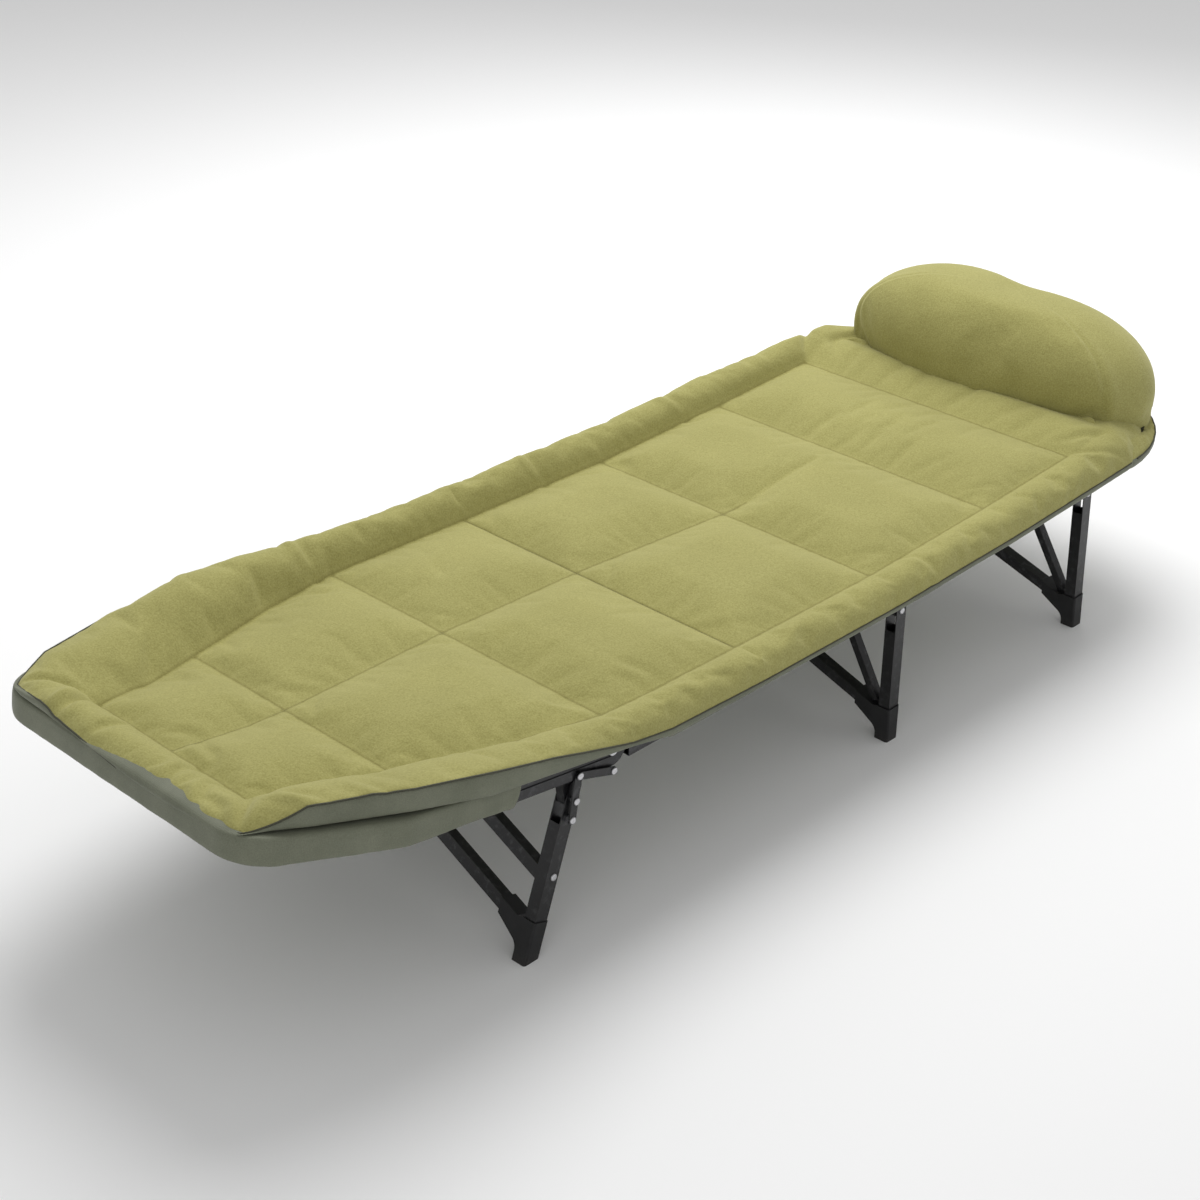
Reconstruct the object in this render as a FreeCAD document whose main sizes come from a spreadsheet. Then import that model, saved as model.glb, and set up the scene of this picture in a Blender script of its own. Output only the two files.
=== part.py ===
"""Three-section folding cot: steel frame sections, folding leg sets, quilted mat and pillow.

X runs from the foot end to the head end, Y across the bed (the near side is -Y), Z up.
The origin is on the floor, under the middle of the bed.  Millimetres and degrees.
"""
import FreeCAD, Part
import math
import os
import Sketcher
from FreeCAD import Placement, Rotation, Vector

DIMENSIONS = {
    # side rails: tall flat tubes on edge, with one groove along the outer face
    "rail_tall": 30, "rail_deep": 15, "rail_wall": 1.5, "rail_outer": 305,
    "groove_tall": 4, "groove_deep": 1.2, "groove_drop": 12,
    # section hinges: pivots near the top of the rails
    "hinge_foot_at": -429.4, "hinge_head_at": 228.6, "pivot_height": 258, "pivot_drop": 7,
    "foot_rise": 8, "head_rise": 3.2, "rail_start": 30, "tongue_radius": 23.3,
    "side_gap": 0.3, "bracket_thick": 4, "bracket_reach": 95,
    "pin_radius": 4, "pin_clearance": 0.05, "pin_head_radius": 8, "pin_head_thick": 2,
    # section lengths, measured along the rails from their hinge
    "foot_side": 330, "foot_span": 520, "foot_end_half": 234, "foot_corner": 60,
    "head_side": 520, "head_span": 716, "head_corner": 190,
    "foot_cross_at": 150, "head_cross_at": 330, "corner_lead": 10, "lead_radius": 30,
    "middle_cross_foot_at": 125, "middle_cross_head_at": -150,
    "cross_radius": 9.5, "cross_wall": 1.5, "cross_drop": 8,
    # legs
    "leg_wide": 22, "leg_deep": 19, "leg_wall": 1.5, "leg_outer": 300, "fork_depth": 34,
    "fork_rise": 27,
    "leg_foot_tilt": 19, "leg_foot_at": -60, "leg_foot_drop": 54,
    "leg_middle_at": -50, "leg_head_at": 432, "leg_drop": 38,
    "lug_deep": 14, "lug_half": 20, "lug_tip": 9,
    # tubes between the two legs of a set
    "bow_tall": 18, "bow_wide": 18, "bow_wall": 1.2, "bow_slope": 18, "bow_start": 40,
    "bow_bend_half": 110, "bow_overrun": 6, "upper_bow_start": 118,
    "strut_tall": 12, "strut_wide": 14, "strut_slope": 60, "strut_start": 58.5,
    "strut_top": 196, "strut_inset": 270, "strut_bend": 30,
    # foot caps
    "cap_tall": 56, "cap_skin": 2, "cap_web": 62,
    # fold linkage of the foot leg set
    "link_eye_across": -61, "link_eye_drop": 17, "crank_eye_across": 1.5, "crank_eye_drop": 28,
    "strap_thick": 2, "arm_wide": 12, "link_wide": 11, "small_pin_radius": 3, "small_head_radius": 5,
    "arm_rivet_across": 2, "arm_rivet_drop": 26, "spacer_radius": 5,
    # soft parts
    "mat_half": 323, "mat_bottom": 8, "mat_top": 34, "mat_overhang": 13, "mat_foot_half": 262,
    "foot_ramp_low": 33, "foot_ramp_high": 138, "head_ramp_low": 12, "head_ramp_high": 48,
    "sleeve_wall": 1.5, "sleeve_gap": 0.5, "foot_sleeve_from": 165,
    "pillow_at": 620, "pillow_half_deep": 112, "pillow_half_tall": 68, "pillow_length": 540,
    "pillow_round": 40,
}

doc = FreeCAD.newDocument("folding_cot")
sheet = doc.addObject("Spreadsheet::Sheet", "Dims")
for row, (alias, value) in enumerate(DIMENSIONS.items(), start=1):
    sheet.set("A%d" % row, alias)
    sheet.set("B%d" % row, str(value))
    sheet.setAlias("B%d" % row, alias)
doc.recompute()


def dim(alias):
    return float(sheet.get(alias))


nodes = []
SIDES = (("near", -1), ("far", 1))
Y_AXIS = Vector(0, 1, 0)

# Frames of reference: each section and each leg set is drawn about its own pivot line.
MIDDLE = Placement()
FOOT = Placement(Vector(dim("hinge_foot_at"), 0, dim("pivot_height")),
                 Rotation(Y_AXIS, dim("foot_rise")))
HEAD = Placement(Vector(dim("hinge_head_at"), 0, dim("pivot_height")),
                 Rotation(Y_AXIS, -dim("head_rise")))
FOOT_LEVEL = Placement(FOOT.Base, Rotation())
HEAD_LEVEL = Placement(HEAD.Base, Rotation())


def leg_frame(section, across, drop, tilt):
    pivot = section.multVec(Vector(across, 0, -drop))
    return Placement(pivot, Rotation(Y_AXIS, tilt))


LEG_SETS = {
    "foot": leg_frame(FOOT, dim("leg_foot_at"), dim("leg_foot_drop"), dim("leg_foot_tilt")),
    "middle": leg_frame(HEAD_LEVEL, dim("leg_middle_at"), dim("leg_drop"), 0),
    "head": leg_frame(HEAD, dim("leg_head_at"), dim("leg_drop"), -dim("head_rise")),
}


def leg_length(leg):
    """Distance from the pivot down the leg to the floor."""
    frame = LEG_SETS[leg]
    return frame.Base.z / math.cos(frame.Rotation.Angle)


# ---------------------------------------------------------------- outlines

def rounded(points, radii):
    """Edges of a closed outline whose corners are rounded by tangent arcs."""
    corners = []
    count = len(points)
    for i, (point, radius) in enumerate(zip(points, radii)):
        here = Vector(point[0], point[1], 0)
        back = Vector(*points[i - 1], 0) - here
        ahead = Vector(*points[(i + 1) % count], 0) - here
        back.normalize()
        ahead.normalize()
        if radius <= 0:
            corners.append((here, None, here))
            continue
        half = back.getAngle(ahead) / 2
        reach = radius / math.tan(half)
        middle = back + ahead
        middle.normalize()
        centre = here + middle * (radius / math.sin(half))
        corners.append((here + back * reach, centre - middle * radius, here + ahead * reach))
    edges = []
    for i, (start, mid, end) in enumerate(corners):
        if mid is not None:
            edges.append(Part.Arc(start, mid, end))
        following = corners[(i + 1) % count][0]
        if (following - end).Length > 1e-6:
            edges.append(Part.LineSegment(end, following))
    return edges


def band(points, bends, half):
    """Closed outline of a strip of half-width half along an open path with rounded bends."""
    count = len(points)
    directions = []
    for a, b in zip(points, points[1:]):
        run = Vector(b[0] - a[0], b[1] - a[1], 0)
        directions.append(run.normalize())
    left, right, radii = [], [], []
    for i, (x, y) in enumerate(points):
        before = directions[max(i - 1, 0)]
        after = directions[min(i, count - 2)]
        across = Vector(-before.y - after.y, before.x + after.x, 0)
        across.normalize()
        stretch = half / across.dot(Vector(-after.y, after.x, 0))
        left.append((x + across.x * stretch, y + across.y * stretch))
        right.append((x - across.x * stretch, y - across.y * stretch))
        turn = before.x * after.y - before.y * after.x
        side = 0 if i in (0, count - 1) else math.copysign(1, turn)
        radii.append((bends[i] - side * half, bends[i] + side * half) if side else (0, 0))
    outline = left + right[::-1]
    rounding = [pair[0] for pair in radii] + [pair[1] for pair in radii[::-1]]
    return outline, rounding


# ---------------------------------------------------------------- features

def new_body(name, placement):
    body = doc.addObject("PartDesign::Body", name)
    body.Label = name
    body.Placement = placement
    nodes.append(body)
    return body


def attach(body, sketch, role, offset):
    plane = next(item for item in body.Origin.OriginFeatures if item.Role == role)
    sketch.AttachmentSupport = [(plane, "")]
    sketch.MapMode = "FlatFace"
    sketch.AttachmentOffset = Placement(Vector(0, 0, offset), Rotation())


def add_feature(body, kind, edges, role, offset, length, expression=None):
    """Pad (along the plane's normal) or Pocket (against it) of one closed outline."""
    sketch = body.newObject("Sketcher::SketchObject", body.Name + "_" + kind + "_sketch")
    attach(body, sketch, role, offset)
    for edge in edges:
        sketch.addGeometry(edge)
    sketch.solve()
    feature = body.newObject("PartDesign::" + kind, body.Name + "_" + kind)
    feature.Profile = sketch
    feature.Length = length
    if expression:
        feature.setExpression("Length", expression)
    sketch.Visibility = False
    doc.recompute()
    return sketch, feature


def circle(x, y, radius):
    return [Part.Circle(Vector(x, y, 0), Vector(0, 0, 1), radius)]


def rectangle(x0, x1, y0, y1):
    return rounded([(x0, y0), (x1, y0), (x1, y1), (x0, y1)], [0] * 4)


def pin_hole(body, across, up, radius_cell="pin_radius"):
    """Round hole along Y, one running clearance larger than its pin."""
    reach = 2 * dim("mat_half")
    sketch, _ = add_feature(body, "Pocket", circle(across, up, dim(radius_cell)), "XZ_Plane",
                            dim("mat_half"), reach, "2 * Dims.mat_half")
    bore = sketch.addConstraint(Sketcher.Constraint("Radius", 0, dim(radius_cell)))
    sketch.setExpression("Constraints[%d]" % bore, "Dims.%s + Dims.pin_clearance" % radius_cell)
    doc.recompute()


def plate(name, placement, points, radii, y_low, thick, thick_cell):
    """Flat plate in the XZ plane whose low-Y face is at y_low."""
    body = new_body(name, placement)
    add_feature(body, "Pad", rounded(points, radii), "XZ_Plane", -(y_low + thick), thick,
                "Dims." + thick_cell)
    return body


def bent_tube(name, placement, role, points, bends, sizes, cells, start, wall, trims=()):
    """Rectangular tube bent in one plane: sizes are its width in the plane and its depth.

    Each trim is a rectangle in that plane that is cut away."""
    width, depth = sizes
    body = new_body(name, placement)
    outline, radii = band(points, bends, width / 2)
    add_feature(body, "Pad", rounded(outline, radii), role, start, depth, "Dims." + cells[0])
    outline, radii = band(points, bends, width / 2 - dim(wall))
    add_feature(body, "Pocket", rounded(outline, radii), role, start + depth - dim(wall),
                depth - 2 * dim(wall), "Dims.%s - 2 * Dims.%s" % (cells[0], wall))
    for trim in trims:
        add_feature(body, "Pocket", rectangle(*trim), role, start + depth, depth,
                    "Dims." + cells[0])
    return body


def rail_y(side, inset=0):
    """Low-Y face of a side rail, moved inboard by inset."""
    outer = dim("rail_outer") - inset
    return -outer if side < 0 else outer - dim("rail_deep")


def side_rail(name, placement, side, start, length, length_cell, inset=0):
    """Straight side rail along X with a groove along its outer face."""
    tall, deep, wall = dim("rail_tall"), dim("rail_deep"), dim("rail_wall")
    low_y = rail_y(side, inset)
    top = dim("pivot_drop")
    body = new_body(name, placement)
    outer = rectangle(low_y, low_y + deep, top - tall, top)
    add_feature(body, "Pad", outer, "YZ_Plane", start, length, length_cell)
    hollow = rectangle(low_y + wall, low_y + deep - wall, top - tall + wall, top - wall)
    add_feature(body, "Pocket", hollow, "YZ_Plane", start + length, length, length_cell)
    groove_top = top - dim("groove_drop")
    face = low_y if side < 0 else low_y + deep
    cut = sorted((face, face - side * dim("groove_deep")))
    groove = rectangle(cut[0], cut[1], groove_top - dim("groove_tall"), groove_top)
    add_feature(body, "Pocket", groove, "YZ_Plane", start + length, length, length_cell)
    return body


def pins(name, placement, spots, radius_cell="pin_radius", head_cell="pin_head_radius"):
    """Rivets along Y: each spot is (x, z, inner y, outer y), headed at the outer end.

    A rivet whose two y are equal is a head alone, standing on a face."""
    solids = []
    head_thick = dim("pin_head_thick")
    for across, up, inner, outer in spots:
        way = math.copysign(1, outer)
        head = Part.makeCylinder(dim(head_cell), head_thick,
                                 Vector(across, outer, up), Vector(0, way, 0))
        rim = [edge for edge in head.Edges if abs(edge.BoundBox.YMin - outer) > head_thick / 2
               and edge.Closed and abs(edge.BoundBox.YLength) < 1e-6]
        solid = head.makeFillet(head_thick * 0.8, rim)
        if inner != outer:
            shank = Part.makeCylinder(dim(radius_cell), abs(outer - inner),
                                      Vector(across, inner, up), Vector(0, way, 0))
            solid = solid.fuse(shank).removeSplitter()
        solids.append(solid)
    return shape_node(name, placement, Part.makeCompound(solids))


def shape_node(name, placement, shape):
    node = doc.addObject("Part::Feature", name)
    node.Label = name
    node.Shape = shape
    node.Placement = placement
    nodes.append(node)
    return node


def cross_tube(name, placement, across, inset=0):
    """Round tube along Y between the inner faces of the two side rails."""
    parts = []
    half = dim("rail_outer") - dim("rail_deep") - inset
    for cell_radius in ("Dims.cross_radius", "Dims.cross_radius - Dims.cross_wall"):
        rod = doc.addObject("Part::Cylinder", name + "_rod")
        rod.setExpression("Radius", cell_radius)
        rod.setExpression("Height", "2 * (Dims.rail_outer - Dims.rail_deep - %g)" % inset)
        rod.Placement = Placement(Vector(across, half, -dim("cross_drop")),
                                  Rotation(Vector(1, 0, 0), 90))
        parts.append(rod)
    tube = doc.addObject("Part::Cut", name)
    tube.Label = name
    tube.Base, tube.Tool = parts
    tube.Placement = placement
    nodes.append(tube)
    return tube


# ---------------------------------------------------------------- frame sections

def middle_section():
    span = dim("hinge_head_at") - dim("hinge_foot_at") - 2 * dim("rail_start")
    span_cell = "Dims.hinge_head_at - Dims.hinge_foot_at - 2 * Dims.rail_start"
    gap = dim("side_gap")
    for word, side in SIDES:
        side_rail("middle_rail_" + word, FOOT_LEVEL, side, dim("rail_start"), span,
                  span_cell, gap)
    cross_tube("middle_cross_tube_foot", FOOT_LEVEL, dim("middle_cross_foot_at"), gap)
    cross_tube("middle_cross_tube_head", HEAD_LEVEL, dim("middle_cross_head_at"), gap)


def hinge_bracket(name, placement, side, way, crank):
    """Inner hinge plate riveted to a middle rail: way points from the pivot to that rail."""
    low, top = dim("pivot_drop") - dim("rail_tall"), dim("pivot_drop")
    reach = dim("bracket_reach")
    points = [(way * reach, top), (way * reach, low + 3), (way * 38, low + 1), (way * 9, -13),
              (-way * 12, -11), (-way * 12, 10), (way * 4, 10), (way * 12, top)]
    radii = [5, 5, 8, 8, 10, 9, 3, 3]
    if crank:
        points[2:4] = [(34, low - 1), (14, -37), (-9, -37)]
        radii[2:4] = [8, 8, 9]
    inner = dim("rail_outer") - dim("rail_deep") - dim("side_gap")
    thick = dim("bracket_thick")
    y_low = -inner if side < 0 else inner - thick
    body = plate(name, placement, points, radii, y_low, thick, "bracket_thick")
    pin_hole(body, 0, 0)
    if crank:
        eye = FOOT.Rotation.multVec(Vector(dim("crank_eye_across"), 0, -dim("crank_eye_drop")))
        pin_hole(body, eye.x, eye.z, "small_pin_radius")


def section_hinges():
    plate_inner = dim("rail_outer") - dim("rail_deep") - dim("side_gap") - dim("bracket_thick")
    outer = dim("rail_outer") + dim("side_gap")
    spots = [(0, 0, side * plate_inner, side * outer) for _, side in SIDES]
    for word, side in SIDES:
        hinge_bracket("foot_hinge_bracket_" + word, FOOT_LEVEL, side, 1, True)
        hinge_bracket("head_hinge_bracket_" + word, HEAD_LEVEL, side, -1, False)
    pins("foot_hinge_pins", FOOT_LEVEL, spots)
    pins("head_hinge_pins", HEAD_LEVEL, spots)


def end_path(word_end, way, start):
    """Plan of the bent end tube's centre line, from start out along the rails and back."""
    centre = dim("rail_outer") - dim("rail_deep") / 2
    span, corner = dim(word_end + "_span"), dim(word_end + "_corner")
    near, bends = [(way * start, -centre)], [0]
    if word_end == "foot":
        near += [(way * (dim("foot_side") + dim("corner_lead")), -centre),
                 (way * span, -dim("foot_end_half"))]
        bends += [dim("lead_radius"), corner]
    else:
        near.append((way * span, -centre))
        bends.append(corner)
    far = [(x, -y) for x, y in reversed(near)]
    return near + far, bends + bends[::-1]


def end_section(word_end, placement, way):
    """Side rails, bent end tube and cross tube of the foot or head section."""
    cross_tube(word_end + "_cross_tube", placement, way * dim(word_end + "_cross_at"))
    side_length = dim(word_end + "_side")
    start_x = 0 if way > 0 else -side_length
    for word, side in SIDES:
        rail = side_rail("%s_rail_%s" % (word_end, word), placement, side, start_x, side_length,
                         "Dims.%s_side" % word_end)
        tongue(rail, placement, side, way)
        pin_hole(rail, 0, 0)
    path, bends = end_path(word_end, way, side_length)
    bottom = dim("pivot_drop") - dim("rail_tall")
    bent_tube(word_end + "_end_tube", placement, "XY_Plane", path, bends,
              (dim("rail_deep"), dim("rail_tall")), ["rail_tall"], bottom, "rail_wall")


def tongue(rail, placement, side, way):
    """Round tongue on the hinge end of a side rail, added about the pivot."""
    radius, top = dim("tongue_radius"), dim("pivot_drop")
    low = top - dim("rail_tall")
    tip_top = math.sqrt(radius ** 2 - top ** 2)
    tip_low = math.sqrt(radius ** 2 - low ** 2)
    here, there, tip = (Vector(-way * tip_top, top, 0), Vector(-way * tip_low, low, 0),
                        Vector(-way * radius, 0, 0))
    edges = [Part.Arc(here, tip, there),
             Part.LineSegment(there, Vector(way * 2, low, 0)),
             Part.LineSegment(Vector(way * 2, low, 0), Vector(way * 2, top, 0)),
             Part.LineSegment(Vector(way * 2, top, 0), here)]
    y_low = rail_y(side)
    add_feature(rail, "Pad", edges, "XZ_Plane", -(y_low + dim("rail_deep")), dim("rail_deep"),
                "Dims.rail_deep")


# ---------------------------------------------------------------- leg sets

def arm_y():
    """Inner face of the folding arms, clear of the side rails."""
    return dim("rail_outer") + dim("side_gap")


def leg_y(side):
    """Low-Y face of a leg tube."""
    return -dim("leg_outer") if side < 0 else dim("leg_outer") - dim("leg_deep")


def lug(name, placement, side, across, drop):
    """Lug under a rail that a leg's fork pivots on."""
    half, tip = dim("lug_half"), dim("lug_tip")
    rail_low = dim("pivot_drop") - dim("rail_tall")
    points = [(across - half, rail_low), (across - tip, -drop - tip), (across + tip, -drop - tip),
              (across + half, rail_low)]
    middle = leg_y(side) + dim("leg_deep") / 2
    body = plate(name, placement, points, [0, 7, 7, 0], middle - dim("lug_deep") / 2,
                 dim("lug_deep"), "lug_deep")
    pin_hole(body, across, -drop)


def leg_pins(name, placement, across, drop, beyond):
    """Pivot pins of a leg set, headed just outside the face at y = beyond."""
    gap = dim("side_gap")
    inner = dim("leg_outer") - dim("leg_deep") - gap
    outer = beyond + gap
    spots = [(across, -drop, side * inner, side * outer) for _, side in SIDES]
    pins(name, placement, spots, "pin_radius", "small_head_radius")


def leg_tube(name, leg, side, top):
    """Leg tube along -Z from its forked top to just above the floor."""
    placement = LEG_SETS[leg]
    wide, deep, wall = dim("leg_wide"), dim("leg_deep"), dim("leg_wall")
    bottom = -leg_length(leg) + 10
    y_low = leg_y(side)
    body = new_body(name, placement)
    points = [(-wide / 2, bottom), (wide / 2, bottom), (wide / 2, top), (-wide / 2, top)]
    add_feature(body, "Pad", rounded(points, [0, 0, 10, 10]), "XZ_Plane", -(y_low + deep), deep,
                "Dims.leg_deep")
    hollow = rectangle(-wide / 2 + wall, wide / 2 - wall, bottom, top + 1)
    add_feature(body, "Pocket", hollow, "XZ_Plane", -(y_low + wall), deep - 2 * wall,
                "Dims.leg_deep - 2 * Dims.leg_wall")
    fork = rectangle(-wide, wide, -dim("fork_depth"), top + 1)
    add_feature(body, "Pocket", fork, "XZ_Plane", -(y_low + wall), deep - 2 * wall,
                "Dims.leg_deep - 2 * Dims.leg_wall")
    pin_hole(body, 0, 0)
    return body


def bow_path(leg, start):
    """Shallow arch between the two legs of a set, in the YZ plane of the leg set."""
    foot = -leg_length(leg)
    inner = dim("leg_outer") - dim("leg_deep")
    reach = inner + dim("bow_overrun")
    rise = math.tan(math.radians(dim("bow_slope")))
    low = foot + start - dim("bow_overrun") * rise
    apex = low + reach * rise
    bend = dim("bow_bend_half") / math.sin(math.radians(dim("bow_slope")))
    return [(-reach, low), (0, apex), (reach, low)], [0, bend, 0]


def bow(name, leg, start):
    path, bends = bow_path(leg, start)
    inner = dim("leg_outer") - dim("leg_deep")
    beyond, low, high = inner + dim("leg_deep"), path[0][1] - dim("bow_tall"), path[1][1]
    trims = [(-beyond, -inner, low, high), (inner, beyond, low, high)]
    return bent_tube(name, LEG_SETS[leg], "YZ_Plane", path, bends,
                     (dim("bow_tall"), dim("bow_wide")), ["bow_wide"], -dim("bow_wide") / 2,
                     "bow_wall", trims)


def strut_path(leg):
    """Steep tube that rises from one cap, crosses under the bed and comes down to the other."""
    foot = -leg_length(leg)
    low, inset = foot + dim("strut_start"), dim("strut_inset")
    top = foot + dim("strut_top")
    across = inset - (top - low) / math.tan(math.radians(dim("strut_slope")))
    path = [(-inset, low), (-across, top), (across, top), (inset, low)]
    bend = dim("strut_bend")
    return path, [0, bend, bend, 0]


def strut_bow(name, leg):
    path, bends = strut_path(leg)
    return bent_tube(name, LEG_SETS[leg], "YZ_Plane", path, bends,
                     (dim("strut_tall"), dim("strut_wide")), ["strut_wide"],
                     -dim("strut_wide") / 2, "bow_wall")


def yz_prism(outline, radii, half):
    """Solid of an outline drawn as (y, z), standing in the YZ plane, half thick each way."""
    face = Part.Face(Part.Wire([edge.toShape() for edge in rounded(outline, radii)]))
    solid = face.extrude(Vector(0, 0, 2 * half))
    solid.Placement = Placement(Vector(-half, 0, 0), Rotation(Vector(1, 1, 1), 120))
    return solid


def foot_cap(name, leg, side, strut):
    """Moulded foot with a curved web that grips the end of the bow; flat on the floor."""
    foot = -leg_length(leg)
    skin, deep, web = dim("cap_skin"), dim("leg_deep"), dim("cap_web")
    outer = dim("leg_outer")
    near = outer - deep
    rise = math.tan(math.radians(dim("bow_slope")))
    grip = dim("bow_tall") / 2 + skin

    def along(reach, lift):
        return near - reach, foot + dim("bow_start") + reach * rise + lift

    outline = [(outer + skin, foot - 9), (outer + skin, foot + dim("cap_tall")),
               (near - skin, foot + dim("cap_tall")), along(10, grip), along(web - deep, grip),
               along(web - deep, -grip), (near - skin, foot + 18), (near - skin, foot - 9)]
    radii = [0, 0, 0, 0, 0, 0, 18, 0]
    half = dim("leg_wide") / 2 + skin
    block = yz_prism(outline, radii, half)
    posts = [edge for edge in block.Edges if edge.Curve.TypeId == "Part::GeomLine"
             and abs(edge.tangentAt(edge.FirstParameter).z) > 0.99 and edge.Length > 25]
    block = block.makeFillet(4, posts)
    wide = dim("leg_wide")
    block = block.cut(Part.makeBox(wide, deep, 300, Vector(-wide / 2, near, foot + 10)))
    path, bends = bow_path(leg, dim("bow_start"))
    outline, radii = band(path, bends, dim("bow_tall") / 2)
    block = block.cut(yz_prism(outline, radii, dim("bow_wide") / 2))
    if strut:
        path, bends = strut_path(leg)
        outline, radii = band(path, bends, dim("strut_tall") / 2)
        block = block.cut(yz_prism(outline, radii, dim("strut_wide") / 2))
    if side < 0:
        block = block.mirror(Vector(), Y_AXIS)
    frame = LEG_SETS[leg]
    floor = Part.makeBox(400, 1000, 60, Vector(frame.Base.x - 300, -500, -60))
    floor.Placement = frame.inverse().multiply(floor.Placement)
    return shape_node(name, frame, block.cut(floor))


def leg_set(leg, top, strut):
    bow("%s_leg_bow" % leg, leg, dim("bow_start"))
    if strut:
        strut_bow("%s_leg_strut" % leg, leg)
    else:
        bow("%s_leg_upper_bow" % leg, leg, dim("upper_bow_start"))
    for word, side in SIDES:
        leg_tube("%s_leg_%s" % (leg, word), leg, side, top)
        foot_cap("%s_leg_cap_%s" % (leg, word), leg, side, strut)


def leg_sets():
    for leg, section, across, drop in (
            ("foot", FOOT, dim("leg_foot_at"), dim("leg_foot_drop")),
            ("middle", HEAD_LEVEL, dim("leg_middle_at"), dim("leg_drop")),
            ("head", HEAD, dim("leg_head_at"), dim("leg_drop"))):
        for word, side in SIDES:
            lug("%s_leg_lug_%s" % (leg, word), section, side, across, drop)
        beyond = arm_y() + dim("strap_thick") if leg == "foot" else dim("leg_outer")
        leg_pins("%s_leg_pins" % leg, section, across, drop, beyond)
    leg_set("foot", dim("fork_rise"), False)
    leg_set("middle", dim("leg_wide") / 2, True)
    leg_set("head", dim("leg_wide") / 2, True)


# ---------------------------------------------------------------- fold linkage

def strap(name, placement, ends, wide, y_low, holes):
    """Flat strap with round ends between two eyes, in the XZ plane."""
    (x0, z0), (x1, z1) = ends
    run = Vector(x1 - x0, z1 - z0, 0)
    run.normalize()
    half = wide / 2
    reach = run * half
    points = [(x0 - reach.x, z0 - reach.y), (x1 + reach.x, z1 + reach.y)]
    outline, _ = band(points, [0, 0], half)
    body = plate(name, placement, outline, [half - 0.01] * 4, y_low, dim("strap_thick"),
                 "strap_thick")
    for across, up in holes:
        pin_hole(body, across, up, "small_pin_radius")
    return body


def fold_linkage():
    """Arms on the foot leg set, and the links that pull them from the middle section."""
    gap, thick = dim("side_gap"), dim("strap_thick")
    eye = (dim("link_eye_across"), -dim("link_eye_drop"))
    crank = (dim("crank_eye_across"), -dim("crank_eye_drop"))
    leg = LEG_SETS["foot"]
    eye_on_leg = leg.inverse().multiply(FOOT).multVec(Vector(eye[0], 0, eye[1]))
    eye_on_leg = (eye_on_leg.x, eye_on_leg.z)
    arm_inner = arm_y()
    arm_outer = arm_inner + thick
    link_inner = arm_outer + gap
    link_outer = link_inner + thick
    plate_inner = dim("rail_outer") - dim("rail_deep") - gap - dim("bracket_thick")
    rivet = (dim("arm_rivet_across"), -dim("arm_rivet_drop"))
    through = (rivet[0], -leg_length("foot") + dim("upper_bow_start"))
    arm_spots, spacers, link_spots, crank_spots = [], [], [], []
    for word, side in SIDES:
        arm = strap("fold_arm_" + word, leg, [eye_on_leg, rivet], dim("arm_wide"),
                    -arm_outer if side < 0 else arm_inner, [eye_on_leg])
        pin_hole(arm, 0, 0)
        strap("fold_link_" + word, FOOT, [eye, crank], dim("link_wide"),
              -link_outer if side < 0 else link_inner, [crank])
        spacers.append(Part.makeCylinder(dim("spacer_radius"), arm_inner - dim("leg_outer"),
                                         Vector(rivet[0], side * dim("leg_outer"), rivet[1]),
                                         Vector(0, side, 0)))
        arm_spots += [rivet + (side * arm_outer,) * 2, through + (side * dim("leg_outer"),) * 2]
        link_spots.append(eye + (side * link_outer,) * 2)
        crank_spots.append(crank + (side * plate_inner, side * (link_outer + gap)))
    shape_node("fold_arm_spacers", leg, Part.makeCompound(spacers))
    pins("fold_arm_rivets", leg, arm_spots, "small_pin_radius", "small_head_radius")
    pins("fold_link_rivets", FOOT, link_spots, "small_pin_radius", "small_head_radius")
    pins("fold_crank_pins", FOOT, crank_spots, "small_pin_radius", "small_head_radius")


# ---------------------------------------------------------------- soft parts

def mat_part(name, placement, outline, radii, ramps):
    """Padded slab cut back by a ramp at each hinge: ramps lists (x, way, low, high)."""
    bottom, top = dim("mat_bottom"), dim("mat_top")
    face = Part.Face(Part.Wire([edge.toShape() for edge in rounded(outline, radii)]))
    slab = face.extrude(Vector(0, 0, top - bottom))
    slab.translate(Vector(0, 0, bottom))
    wide = 2 * dim("mat_half") + 20
    for at, way, low, high in ramps:
        wedge = [(at - way * 20, bottom - 1), (at + way * low, bottom - 1),
                 (at + way * high, top + 1), (at - way * 20, top + 1)]
        corners = [Vector(x, -wide / 2, z) for x, z in wedge]
        cut = Part.Face(Part.makePolygon(corners + corners[:1])).extrude(Vector(0, wide, 0))
        slab = slab.cut(cut)
    return shape_node(name, placement, slab)


def mats():
    half, over = dim("mat_half"), dim("mat_overhang")
    foot_ramp = (dim("foot_ramp_low"), dim("foot_ramp_high"))
    head_ramp = (dim("head_ramp_low"), dim("head_ramp_high"))
    end = -dim("foot_span") - over
    taper = dim("mat_foot_half")
    outline = [(0, -half), (0, half), (-dim("foot_side"), half), (end, taper), (end, -taper),
               (-dim("foot_side"), -half)]
    mat_part("mat_foot", FOOT, outline, [0, 0, 120, 45, 45, 120], [(0, -1) + foot_ramp])
    span = dim("hinge_head_at") - dim("hinge_foot_at")
    outline = [(0, -half), (span, -half), (span, half), (0, half)]
    mat_part("mat_middle", FOOT_LEVEL, outline, [0] * 4,
             [(0, 1) + foot_ramp, (span, -1) + head_ramp])
    end = dim("head_span") + over
    outline = [(0, -half), (end, -half), (end, half), (0, half)]
    mat_part("mat_head", HEAD, outline, [0, 205, 205, 0], [(0, 1) + head_ramp])


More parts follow.
